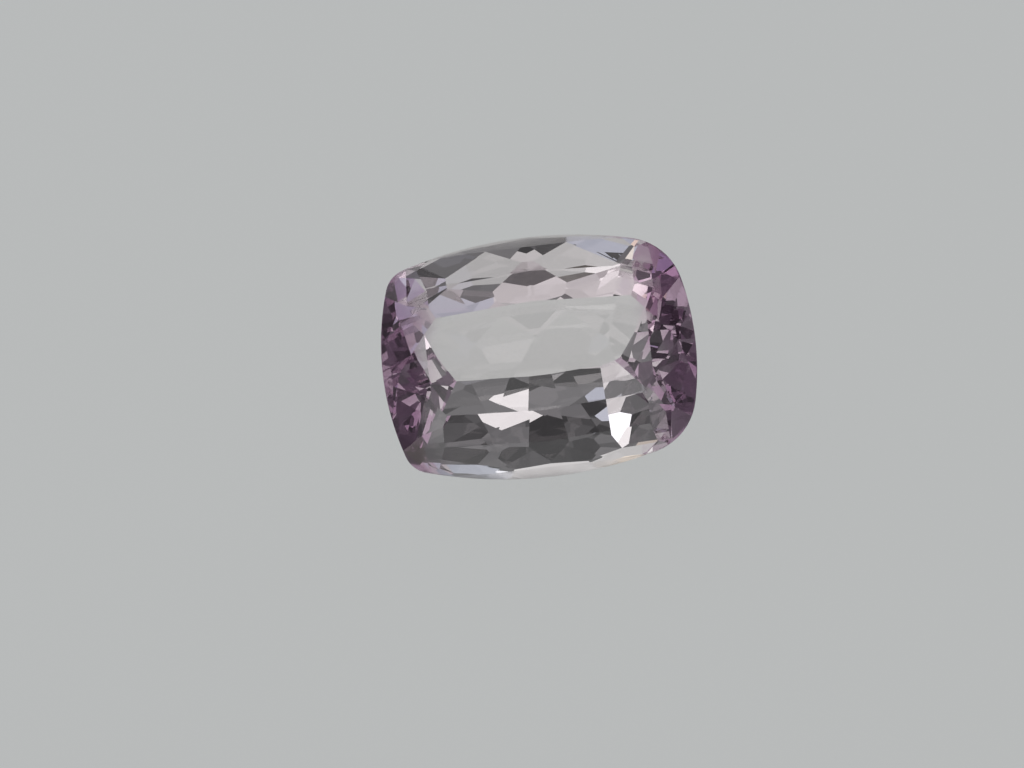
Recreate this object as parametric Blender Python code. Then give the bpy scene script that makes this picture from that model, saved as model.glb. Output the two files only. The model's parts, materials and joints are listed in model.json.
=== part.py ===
"""Cushion-cut kunzite gemstone: one transparent solid that lies on a pavilion facet.

The stone is cut in its own frame, as a cutter holds it: +Z out of the table, +X along its
length, the middle of the girdle at the origin. A prism with the cushion outline is cut by one
plane for each facet. The finished stone is then laid on the facet that it rests on, with the
middle of its footprint at the origin and the surface under it at Z = 0.
"""

import math

import bmesh
import bpy
from mathutils import Matrix, Vector

MM = 0.001

# Girdle outline, seen from above the table: four long arcs joined by four corner arcs
LENGTH = 13.0 * MM
WIDTH = 9.95 * MM
SIDE_RADIUS = 17.9 * MM
END_RADIUS = 11.3 * MM
CORNER_RADII = {-1: 1.15 * MM, 1: 2.5 * MM}  # by end: the two corners at +X are rounder
ARC_STEPS = 10
GIRDLE = 0.39 * MM

# Crown: a flat table, twelve kites, a star between two kites and a pair of break facets
# between their outer tips. Each kite of one quarter has its inner tip on the table and its
# outer tip on the girdle at this polar angle, in degrees from +X.
CROWN = 1.11 * MM
STAR_DEPTH = 0.47  # share of the crown's height from the table down to the foot of a star
KITE_TABLE_TIPS = ((4.60 * MM, 1.42 * MM), (3.76 * MM, 2.36 * MM), (2.24 * MM, 2.62 * MM))
KITE_GIRDLE_ANGLES = (15.9, 40.1, 66.5)

# Pavilion: a tier of steep break facets under the girdle, then five tiers whose facets stand
# in a net, each turned half a step from the tier above. A tier touches the stone's bowl at
# its distance in from the girdle and has an angle of its own on each side and end. At the
# corners, between a side and an end, it leans steeper or flatter than the two blended.
BREAK_ANGLE = 63.4
BREAK_SHARE = 0.9  # how much of the first stretch the break facets and the net share
TIER_INSETS = (0.60 * MM, 1.48 * MM, 2.78 * MM, 4.28 * MM, 6.04 * MM)
SIDE_ANGLES = {1: (44.8, 39.7, 35.6, 31.3, 29.2), -1: (61.3, 40.3, 36.9, 36.4, 26.4)}
END_ANGLES = {1: (51.8, 50.2, 49.3, 41.6, 37.7), -1: (60.3, 50.7, 49.1, 45.6, 44.8)}
CORNER_LEANS = (-4.0, -0.4, -10.0, 1.6, -1.0)
REST_TIER = 2  # the stone lies on this tier's facet in the middle of its -Y side

# Two points of a facet's edge nearer than this are one corner
SAME_POINT = 0.0005 * MM


def slope(degrees):
    """Rise over run of a facet at this angle from the girdle plane."""
    return math.tan(math.radians(degrees))


def sign(number):
    return 1 if number >= 0 else -1


def outline_arcs(corner_radius):
    """Centres of the side, end and corner arcs of the +X +Y quarter, in the girdle plane."""
    side = Vector((0, WIDTH / 2 - SIDE_RADIUS))
    end = Vector((LENGTH / 2 - END_RADIUS, 0))
    to_side = SIDE_RADIUS - corner_radius
    to_end = END_RADIUS - corner_radius
    between = end - side
    along = (to_side**2 - to_end**2 + between.length_squared) / (2 * between.length)
    off = math.sqrt(to_side**2 - along**2)
    direction = between.normalized()
    corner = side + along * direction + off * Vector((direction.y, -direction.x))
    return side, end, corner


def girdle_point(angle):
    """The outline's point at a polar angle in degrees, and the outline's normal there."""
    turn = math.radians(angle)
    quarter = Vector((sign(math.cos(turn)), sign(math.sin(turn))))
    ray = Vector((abs(math.cos(turn)), abs(math.sin(turn))))
    corner_radius = CORNER_RADII[quarter.x]
    side, end, corner = outline_arcs(corner_radius)
    side_joint = side + (corner - side).normalized() * SIDE_RADIUS
    end_joint = end + (corner - end).normalized() * END_RADIUS
    if ray.y * side_joint.x >= ray.x * side_joint.y:
        centre, radius = side, SIDE_RADIUS
    elif ray.y * end_joint.x <= ray.x * end_joint.y:
        centre, radius = end, END_RADIUS
    else:
        centre, radius = corner, corner_radius
    middle = ray.dot(centre)
    reach = middle + math.sqrt(middle**2 - centre.length_squared + radius**2)
    point = ray * reach
    normal = (point - centre) / radius
    return point * quarter, normal * quarter


def arc_points(centre, radius, start, stop):
    """Points from one direction to another about a centre, without the last."""
    first = math.atan2(start.y, start.x)
    swing = math.atan2(stop.y, stop.x) - first
    turns = [first + swing * step / ARC_STEPS for step in range(ARC_STEPS)]
    return [centre + radius * Vector((math.cos(turn), math.sin(turn))) for turn in turns]


def quarter_outline(corner_radius):
    """The outline from +X round to +Y, without its last point."""
    side, end, corner = outline_arcs(corner_radius)
    end_turn = corner - end
    side_turn = corner - side
    points = arc_points(end, END_RADIUS, Vector((1, 0)), end_turn)
    points += arc_points(corner, corner_radius, end_turn, side_turn)
    points += arc_points(side, SIDE_RADIUS, side_turn, Vector((0, 1)))
    return points


def outline():
    """The whole girdle outline, counter-clockwise from +X."""
    top = Vector((0, WIDTH / 2))
    right = quarter_outline(CORNER_RADII[1]) + [top]
    left = [Vector((-p.x, p.y)) for p in reversed(quarter_outline(CORNER_RADII[-1]))]
    upper = right + left
    lower = [Vector((p.x, -p.y)) for p in reversed(upper[1:-1])]
    return upper + lower


def kites():
    """Girdle angle and table tip of each kite, counter-clockwise from +X."""
    quarter = list(zip(KITE_GIRDLE_ANGLES, KITE_TABLE_TIPS))
    found = [(angle, Vector(tip)) for angle, tip in quarter]
    found += [(180 - angle, Vector((-x, y))) for angle, (x, y) in reversed(quarter)]
    found += [(180 + angle, Vector((-x, -y))) for angle, (x, y) in quarter]
    found += [(360 - angle, Vector((x, -y))) for angle, (x, y) in reversed(quarter)]
    return found


def gaps():
    """Girdle angles of the neighbouring kites on each side of a gap."""
    angles = [angle for angle, _ in kites()]
    return list(zip(angles, angles[1:] + [angles[0] + 360]))


def plane_through(a, b, c):
    """A point and outward normal of the plane through three points of the stone."""
    normal = (b - a).cross(c - a).normalized()
    return a, normal if normal.dot(a + b + c) > 0 else -normal


def crown_planes():
    """Table, kites, stars and break facets, each as a point and an outward normal."""
    edge = GIRDLE / 2
    top = edge + CROWN
    tips = []
    kite_planes = []
    for angle, tip in kites():
        foot, _ = girdle_point(angle)
        run = foot - tip
        normal = Vector((run.x * CROWN, run.y * CROWN, run.length_squared)).normalized()
        kite_planes.append((foot.to_3d() + Vector((0, 0, edge)), normal))
        tips.append(tip.to_3d() + Vector((0, 0, top)))
    planes = [(Vector((0, 0, top)), Vector((0, 0, 1)))] + kite_planes

    star_foot = top - STAR_DEPTH * CROWN
    for index, (first, last) in enumerate(gaps()):
        following = (index + 1) % len(tips)
        (point, normal), (other, lean) = kite_planes[index], kite_planes[following]
        level = Matrix((normal.xy, lean.xy))
        reach = (
            normal.dot(point) - normal.z * star_foot,
            lean.dot(other) - lean.z * star_foot,
        )
        foot = (level.inverted() @ Vector(reach)).to_3d() + Vector((0, 0, star_foot))
        middle = girdle_point((first + last) / 2)[0].to_3d() + Vector((0, 0, edge))
        planes.append(plane_through(tips[index], tips[following], foot))
        planes.append(plane_through(point, middle, foot))
        planes.append(plane_through(middle, other, foot))
    return planes


def net_facet(angle, tier):
    """The net's facet under the girdle's point at this polar angle, in one tier."""
    point, normal = girdle_point(angle)
    side_share = normal.y**2
    side = SIDE_ANGLES[sign(normal.y)]
    end = END_ANGLES[sign(normal.x)]
    corner_share = 4 * side_share * (1 - side_share)
    slopes = []
    for on_side, on_end, lean in zip(side, end, CORNER_LEANS):
        blended = side_share * slope(on_side) + (1 - side_share) * slope(on_end)
        slopes.append(math.tan(math.atan(blended) + math.radians(lean) * corner_share))
    depth = GIRDLE / 2
    depth += BREAK_SHARE * TIER_INSETS[0] * (slope(BREAK_ANGLE) + slopes[0]) / 2
    for inner in range(1, tier + 1):
        run = TIER_INSETS[inner] - TIER_INSETS[inner - 1]
        depth += run * (slopes[inner - 1] + slopes[inner]) / 2
    touch = point - TIER_INSETS[tier] * normal
    lean = Vector((normal.x * slopes[tier], normal.y * slopes[tier], -1)).normalized()
    return Vector((touch.x, touch.y, -depth)), lean


def pavilion_planes():
    """Break facets and the net, each as a point and an outward normal."""
    planes = []
    for first, last in gaps():
        middle = (first + last) / 2
        planes += [net_facet(first, tier) for tier in (1, 3)]
        planes += [net_facet(middle, tier) for tier in (0, 2, 4)]
        for angle in ((first + middle) / 2, (middle + last) / 2):
            point, normal = girdle_point(angle)
            steep = slope(BREAK_ANGLE)
            lean = Vector((normal.x * steep, normal.y * steep, -1)).normalized()
            planes.append((Vector((point.x, point.y, -GIRDLE / 2)), lean))
    return planes


def cut_facet(bm, point, normal):
    """Takes off all that lies outside a plane and closes the stone with one flat face."""
    geometry = list(bm.verts) + list(bm.edges) + list(bm.faces)
    bmesh.ops.bisect_plane(
        bm, geom=geometry, dist=SAME_POINT, plane_co=point, plane_no=normal, clear_outer=True
    )
    rim = [edge for edge in bm.edges if edge.is_boundary]
    if rim:
        bmesh.ops.contextual_create(bm, geom=rim)


def rough_prism(bm):
    """The cushion outline, extruded deep enough to hold the whole stone."""
    depth = LENGTH / 2
    face = bm.faces.new([bm.verts.new((p.x, p.y, -depth)) for p in outline()])
    grown = bmesh.ops.extrude_face_region(bm, geom=[face])
    raised = [item for item in grown["geom"] if isinstance(item, bmesh.types.BMVert)]
    bmesh.ops.translate(bm, verts=raised, vec=(0, 0, 2 * depth))
    bmesh.ops.recalc_face_normals(bm, faces=bm.faces)


def lay_down(bm):
    """Turns the stone onto its resting facet and puts its footprint over the origin."""
    _, rest_normal = net_facet(270, REST_TIER)
    turn = rest_normal.rotation_difference(Vector((0, 0, -1))).to_matrix()
    bmesh.ops.rotate(bm, verts=bm.verts, cent=(0, 0, 0), matrix=turn)
    low = Vector([min(v.co[axis] for v in bm.verts) for axis in range(3)])
    high = Vector([max(v.co[axis] for v in bm.verts) for axis in range(3)])
    middle = (low + high) / 2
    bmesh.ops.translate(bm, verts=bm.verts, vec=(-middle.x, -middle.y, -low.z))


def kunzite_material():
    """Polished pale lilac-pink spodumene."""
    material = bpy.data.materials.new("kunzite")
    material.use_nodes = True
    shader = material.node_tree.nodes["Principled BSDF"]
    shader.inputs["Base Color"].default_value = (0.76, 0.62, 0.72, 1)
    shader.inputs["Roughness"].default_value = 0.02
    shader.inputs["Metallic"].default_value = 0
    shader.inputs["IOR"].default_value = 1.665
    shader.inputs["Transmission Weight"].default_value = 1
    return material


def gemstone():
    bm = bmesh.new()
    rough_prism(bm)
    for point, normal in crown_planes() + pavilion_planes():
        cut_facet(bm, point, normal)
    bmesh.ops.remove_doubles(bm, verts=bm.verts, dist=2 * SAME_POINT)
    lay_down(bm)
    mesh = bpy.data.meshes.new("kunzite_gemstone")
    bm.to_mesh(mesh)
    bm.free()
    mesh.materials.append(kunzite_material())
    stone = bpy.data.objects.new("kunzite_gemstone", mesh)
    bpy.context.scene.collection.objects.link(stone)
    return stone


def main():
    for thing in list(bpy.data.objects):
        bpy.data.objects.remove(thing)
    gemstone()


main()
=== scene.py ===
"""Cushion-cut kunzite gemstone, lying on a glowing pale table under soft studio lights.

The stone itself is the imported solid: its facets are already exact and flat, so it keeps its
mesh and gets the finish of polished kunzite. The lights are soft panels, and what the facets
show is those panels, the dim room between them and the pale table.
"""

import json
import math

import bmesh
import bpy
from bpy.props import FloatProperty, PointerProperty, StringProperty
from bpy.types import Operator, Panel, PropertyGroup
from mathutils import Matrix, Vector

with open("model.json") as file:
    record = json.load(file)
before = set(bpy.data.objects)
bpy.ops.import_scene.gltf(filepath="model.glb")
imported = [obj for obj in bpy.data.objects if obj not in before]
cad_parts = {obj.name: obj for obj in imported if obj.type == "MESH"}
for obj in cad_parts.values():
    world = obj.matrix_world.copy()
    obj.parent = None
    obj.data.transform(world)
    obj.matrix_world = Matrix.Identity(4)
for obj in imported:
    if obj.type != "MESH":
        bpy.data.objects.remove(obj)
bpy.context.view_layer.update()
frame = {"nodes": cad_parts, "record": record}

bl_info = {
    "name": "Cut kunzite gemstone",
    "version": (1, 0, 0),
    "blender": (4, 5, 0),
    "location": "View3D > Sidebar > Kunzite",
    "description": "Finishes a cut kunzite, with its table, lights and camera",
    "category": "Object",
}

MM = 0.001
STONE = "kunzite_gemstone"
FRAME_WIDTH_PX = 1024
FRAME_HEIGHT_PX = 768

# Where the photograph shows the stone: the middle of its girdle, its length along the long
# side, and how far that side climbs to the right
STONE_MIDDLE_PX = (539.1, 356.9)
STONE_LENGTH_PX = 314.5
STONE_CLIMB_DEG = 6.77
STONE_LENGTH = 13.0 * MM
GIRDLE = 0.39 * MM
GIRDLE_UNDER_TABLE = 1.305 * MM  # from the table facet down to the middle of the girdle

# Kunzite's plum sets in this far from the middle and is full from here on, in uneven clouds
CLEAR_TO = 3.9 * MM
PLUM_FROM = 5.6 * MM
CLOUD_SIZE = 1.6 * MM
CLOUD_REACH = 1.6 * MM

# Soft panels: name, degrees round from +X, degrees up from the table, the half-angle that the
# panel fills as the stone sees it, its brightness where the pale table is 0.5, and its colour
WHITE, WARM, COOL = "ffffff", "fff0dc", "e6eeff"
PANELS = (
    ("front low", 247, 15, 18, 1.05, WHITE),
    ("front right", 290, 24, 18, 0.40, WHITE),
    ("beside the camera", 270, 56, 7, 0.50, WHITE),
    ("front left foot", 226, 6, 7, 0.50, WARM),
    ("right foot", 318, 7, 9, 0.60, COOL),
    ("right spark", 323, 3, 5, 1.90, WHITE),
    ("back right foot", 39, 4, 10, 2.80, WHITE),
    ("back right", 54, 30, 18, 0.45, COOL),
    ("back", 96, 35, 20, 0.55, WHITE),
    ("back high", 116, 53, 11, 0.45, WHITE),
    ("back spark", 107, 7, 5, 0.95, WARM),
    ("back left low", 144, 16, 15, 0.55, WHITE),
    ("back left", 154, 39, 20, 0.60, WHITE),
    ("left high", 190, 54, 14, 0.55, COOL),
    ("left key", 202, 43, 7, 1.00, WHITE),
    ("overhead", 12, 77, 10, 0.80, WHITE),
)
PANEL_DISTANCE = 400 * MM

# The pale table: a hair lower than the stone's facet, because polished stone and acrylic meet
# at a few high points and keep a film of air, which lets the facet mirror
AIR_FILM = 0.05 * MM
TABLE_RADIUS = 1500 * MM
TABLE_WALL = 80 * MM
TABLE_CLOUDS = 150 * MM

# The dim room between the panels, in soft blotches a few across
ROOM_BLOTCHES = 4.0
ROOM_PLACE = (12.8, 2.1, 13.8)


def linear(hex_colour):
    """An sRGB colour such as 'c8b4c4' as linear red, green, blue and alpha."""
    channels = [int(hex_colour[at:at + 2], 16) / 255 for at in (0, 2, 4)]
    bent = [c / 12.92 if c <= 0.04045 else ((c + 0.055) / 1.055) ** 2.4 for c in channels]
    return (*bent, 1.0)


def add_node(tree, kind, settings=None, inputs=None, links=None):
    """Adds one node with its settings, its inputs' values and its inputs' links."""
    node = tree.nodes.new(kind)
    for name, value in (settings or {}).items():
        setattr(node, name, value)
    for name, value in (inputs or {}).items():
        node.inputs[name].default_value = value
    for name, source in (links or {}).items():
        tree.links.new(source, node.inputs[name])
    return node


def new_material(name):
    """An empty node material with its output node."""
    material = bpy.data.materials.new(name)
    material.use_nodes = True
    material.node_tree.nodes.clear()
    output = add_node(material.node_tree, "ShaderNodeOutputMaterial")
    return material, material.node_tree, output


def table_of_stone():
    """The middle of the stone's table facet and the direction it faces."""
    mount = next(m for m in frame["record"]["mounts"] if m["name"] == "table")
    return Vector(mount["pos_m"]), Vector(mount["axis"]).normalized()


class KunziteFinish(PropertyGroup):
    refraction: FloatProperty(
        name="Refractive index", description="Mean index of spodumene", default=1.665, min=1.0, max=3.0
    )
    absorption: FloatProperty(
        name="Depth of colour", description="How strongly a metre of kunzite absorbs light",
        default=16.0, min=0.0,
    )
    clear: StringProperty(
        name="Middle", description="Colour across the stone, as sRGB hex", default="fefdfb"
    )
    plum: StringProperty(
        name="Ends", description="Colour along the stone, as sRGB hex", default="b992b4"
    )
    frost: FloatProperty(
        name="Girdle frost", description="Roughness of the ground girdle", default=0.3, min=0.0, max=1.0
    )


class KunziteStage(PropertyGroup):
    lean_up: FloatProperty(
        name="Table leans away", description="How far the table facet leans up from the camera, in degrees",
        default=2.6,
    )
    camera_distance: FloatProperty(
        name="Camera distance", description="From the stone to the camera", default=0.60, unit="LENGTH"
    )
    room_low: FloatProperty(
        name="Room, darkest", description="Brightness of the room's darkest blotch", default=0.045, min=0.0
    )
    room_high: FloatProperty(
        name="Room, lightest", description="Brightness of the room's lightest blotch", default=0.19, min=0.0
    )
    glow: FloatProperty(
        name="Table glow", description="Light that the pale table gives off", default=0.46, min=0.0
    )


def plum_towards_the_ends(tree, place, settings):
    """The stone's colour at each place: clear in the middle, plum in clouds at both ends."""
    axes = add_node(tree, "ShaderNodeSeparateXYZ", links={"Vector": place})
    from_middle = add_node(
        tree, "ShaderNodeMath", {"operation": "ABSOLUTE"}, links={0: axes.outputs["X"]}
    )
    clouds = add_node(
        tree, "ShaderNodeTexNoise", inputs={"Scale": 1 / CLOUD_SIZE, "Detail": 2.0},
        links={"Vector": place},
    )
    uneven = add_node(
        tree, "ShaderNodeMath", {"operation": "MULTIPLY_ADD"},
        {1: CLOUD_REACH, 2: -CLOUD_REACH / 2}, {0: clouds.outputs["Fac"]},
    )
    reach = add_node(
        tree, "ShaderNodeMath", {"operation": "ADD"},
        links={0: from_middle.outputs[0], 1: uneven.outputs[0]},
    )
    share = add_node(
        tree, "ShaderNodeMapRange", {"interpolation_type": "SMOOTHSTEP"},
        {"From Min": CLEAR_TO, "From Max": PLUM_FROM}, {"Value": reach.outputs[0]},
    )
    ramp = tree.nodes.new("ShaderNodeValToRGB")
    ramp.color_ramp.elements[0].color = linear(settings.clear)
    ramp.color_ramp.elements[1].color = linear(settings.plum)
    tree.links.new(share.outputs["Result"], ramp.inputs["Fac"])
    return ramp.outputs["Color"]


def frost_on_the_girdle(tree, place, settings):
    """Roughness at each place: none on the facets, and frost on the girdle's narrow band."""
    middle, facing = table_of_stone()
    height = add_node(
        tree, "ShaderNodeVectorMath", {"operation": "DOT_PRODUCT"}, {1: facing}, {0: place}
    )
    girdle_height = middle.dot(facing) - GIRDLE_UNDER_TABLE
    band = add_node(
        tree, "ShaderNodeMath", {"operation": "COMPARE"}, {1: girdle_height, 2: GIRDLE / 2},
        {0: height.outputs["Value"]},
    )
    frost = add_node(
        tree, "ShaderNodeMath", {"operation": "MULTIPLY"}, {1: settings.frost}, {0: band.outputs[0]}
    )
    return frost.outputs[0]


def polished_kunzite(settings):
    """Kunzite (spodumene), cut on a lap and polished.

    It gives the eye flat clear mirrors with a window through the middle. Kunzite shows plum
    along its length and next to nothing across it, so both ends look plum, in uneven clouds.
    Its girdle is left as it came from the grinding wheel.
    """
    material, tree, output = new_material("polished kunzite")
    place = add_node(tree, "ShaderNodeTexCoord").outputs["Object"]
    shader = add_node(
        tree, "ShaderNodeBsdfPrincipled",
        inputs={"Metallic": 0.0, "IOR": settings.refraction, "Transmission Weight": 1.0},
        links={
            "Base Color": plum_towards_the_ends(tree, place, settings),
            "Roughness": frost_on_the_girdle(tree, place, settings),
        },
    )
    depth = add_node(
        tree, "ShaderNodeVolumeAbsorption",
        inputs={"Color": (0.68, 0.40, 0.55, 1), "Density": settings.absorption},
    )
    tree.links.new(shader.outputs["BSDF"], output.inputs["Surface"])
    tree.links.new(depth.outputs["Volume"], output.inputs["Volume"])
    return material


class KUNZITE_OT_stone(Operator):
    """Gives the stone its polished, transparent finish"""

    bl_idname = "kunzite.stone"
    bl_label = "Polish the stone"

    def execute(self, context):
        stone = frame["nodes"][STONE]
        material = polished_kunzite(context.scene.kunzite_finish)
        for slot in stone.material_slots:
            slot.material = material
        return {"FINISHED"}


class KUNZITE_OT_stage(Operator):
    """Makes the pale table, the soft panels, the dim room and the camera"""

    bl_idname = "kunzite.stage"
    bl_label = "Set the stage"

    def execute(self, context):
        stage = context.scene.kunzite_stage
        make_table_top(stage)
        make_room(context.scene, stage)
        middle, facing = table_of_stone()
        for panel in PANELS:
            make_panel(middle, *panel)
        make_camera(context.scene, stage, middle, facing)
        return {"FINISHED"}


def opal_acrylic(stage):
    """Opal acrylic sheet, lit from inside: pale, matt and all but even, in faint wide clouds."""
    material, tree, output = new_material("opal acrylic, lit from inside")
    place = add_node(tree, "ShaderNodeTexCoord").outputs["Object"]
    clouds = add_node(
        tree, "ShaderNodeTexNoise", inputs={"Scale": 1 / TABLE_CLOUDS, "Detail": 1.0},
        links={"Vector": place},
    )
    glow = tree.nodes.new("ShaderNodeValToRGB")
    glow.color_ramp.elements[0].color = linear("f8fbfb")
    glow.color_ramp.elements[1].color = linear("fcfefd")
    tree.links.new(clouds.outputs["Fac"], glow.inputs["Fac"])
    shader = add_node(
        tree, "ShaderNodeBsdfPrincipled",
        inputs={
            "Base Color": linear("5c5e5e"),
            "Roughness": 0.7,
            "Specular IOR Level": 0.2,
            "Emission Strength": stage.glow,
        },
        links={"Emission Color": glow.outputs["Color"]},
    )
    tree.links.new(shader.outputs["BSDF"], output.inputs["Surface"])
    return material


def make_table_top(stage):
    """A wide round table with a low wall of the same acrylic at its far edge."""
    bm = bmesh.new()
    bmesh.ops.create_circle(bm, cap_ends=True, radius=TABLE_RADIUS, segments=96)
    rim = bmesh.ops.extrude_edge_only(bm, edges=list(bm.edges))
    raised = [item for item in rim["geom"] if isinstance(item, bmesh.types.BMVert)]
    bmesh.ops.translate(bm, verts=raised, vec=(0, 0, TABLE_WALL))
    bmesh.ops.translate(bm, verts=bm.verts, vec=(0, 0, -AIR_FILM))
    mesh = bpy.data.meshes.new("table_top")
    bm.to_mesh(mesh)
    bm.free()
    mesh.materials.append(opal_acrylic(stage))
    table = bpy.data.objects.new("table_top", mesh)
    bpy.context.scene.collection.objects.link(table)


def make_room(scene, stage):
    """The dim room round the panels, in soft grey blotches, and how light is followed."""
    world = bpy.data.worlds.new("room")
    world.use_nodes = True
    tree = world.node_tree
    way = add_node(tree, "ShaderNodeTexCoord").outputs["Generated"]
    placed = add_node(
        tree, "ShaderNodeMapping", inputs={"Location": ROOM_PLACE}, links={"Vector": way}
    )
    blotches = add_node(
        tree, "ShaderNodeTexNoise", inputs={"Scale": ROOM_BLOTCHES, "Detail": 1.5},
        links={"Vector": placed.outputs["Vector"]},
    )
    level = add_node(
        tree, "ShaderNodeMapRange", {"interpolation_type": "SMOOTHSTEP"},
        {
            "From Min": 0.40, "From Max": 0.60,
            "To Min": stage.room_low, "To Max": stage.room_high,
        },
        {"Value": blotches.outputs["Fac"]},
    )
    background = tree.nodes["Background"]
    background.inputs["Color"].default_value = linear("f0f2f6")
    tree.links.new(level.outputs["Result"], background.inputs["Strength"])
    scene.world = world
    scene.view_settings.view_transform = "Standard"
    scene.cycles.denoising_input_passes = "RGB"
    scene.cycles.max_bounces = 32
    scene.cycles.glossy_bounces = 32
    scene.cycles.transmission_bounces = 32


def make_panel(middle, name, round_deg, up_deg, half_deg, brightness, colour):
    """One round soft panel that faces the stone."""
    turn, rise = math.radians(round_deg), math.radians(up_deg)
    level = Vector((math.cos(turn), math.sin(turn), 0))
    towards = math.cos(rise) * level + Vector((0, 0, math.sin(rise)))
    light = bpy.data.lights.new(name, "AREA")
    light.shape = "DISK"
    light.size = 2 * PANEL_DISTANCE * math.tan(math.radians(half_deg))
    light.energy = brightness * math.pi ** 2 * light.size ** 2 / 4
    light.color = linear(colour)[:3]
    panel = bpy.data.objects.new(name, light)
    panel.location = middle + PANEL_DISTANCE * towards
    panel.rotation_euler = towards.to_track_quat("Z", "Y").to_euler()
    panel.visible_camera = False
    bpy.context.scene.collection.objects.link(panel)


def make_camera(scene, stage, table_middle, facing):
    """Looks down on the stone's table, with the stone where the photograph has it."""
    length_way = Vector((1, 0, 0))
    width_way = facing.cross(length_way)
    towards = (facing - math.tan(math.radians(stage.lean_up)) * width_way).normalized()
    up = (width_way - width_way.dot(towards) * towards).normalized()
    right = up.cross(towards)
    roll = math.radians(STONE_CLIMB_DEG)
    camera_right = math.cos(roll) * right - math.sin(roll) * up
    camera_up = math.sin(roll) * right + math.cos(roll) * up
    pixel = STONE_LENGTH / STONE_LENGTH_PX
    off_right = (STONE_MIDDLE_PX[0] - FRAME_WIDTH_PX / 2) * pixel
    off_up = (FRAME_HEIGHT_PX / 2 - STONE_MIDDLE_PX[1]) * pixel
    aim = table_middle - GIRDLE_UNDER_TABLE * facing - off_right * camera_right - off_up * camera_up
    data = bpy.data.cameras.new("camera")
    data.sensor_width = 36.0
    data.lens = data.sensor_width * stage.camera_distance / (FRAME_WIDTH_PX * pixel)
    data.clip_start = 0.01
    camera = bpy.data.objects.new("camera", data)
    turn = Matrix((camera_right, camera_up, towards)).transposed()
    camera.matrix_world = Matrix.Translation(aim + stage.camera_distance * towards) @ turn.to_4x4()
    scene.collection.objects.link(camera)
    scene.camera = camera


class KUNZITE_PT_panel(Panel):
    bl_idname = "KUNZITE_PT_panel"
    bl_label = "Kunzite"
    bl_space_type = "VIEW_3D"
    bl_region_type = "UI"
    bl_category = "Kunzite"

    def draw(self, context):
        self.layout.operator(KUNZITE_OT_stone.bl_idname)
        self.layout.operator(KUNZITE_OT_stage.bl_idname)


CLASSES = (KunziteFinish, KunziteStage, KUNZITE_OT_stone, KUNZITE_OT_stage, KUNZITE_PT_panel)


def register():
    for each in CLASSES:
        bpy.utils.register_class(each)
    bpy.types.Scene.kunzite_finish = PointerProperty(type=KunziteFinish)
    bpy.types.Scene.kunzite_stage = PointerProperty(type=KunziteStage)


def unregister():
    del bpy.types.Scene.kunzite_stage
    del bpy.types.Scene.kunzite_finish
    for each in reversed(CLASSES):
        bpy.utils.unregister_class(each)


def main():
    register()
    bpy.ops.kunzite.stone()
    bpy.ops.kunzite.stage()


if __name__ == "__main__":
    main()
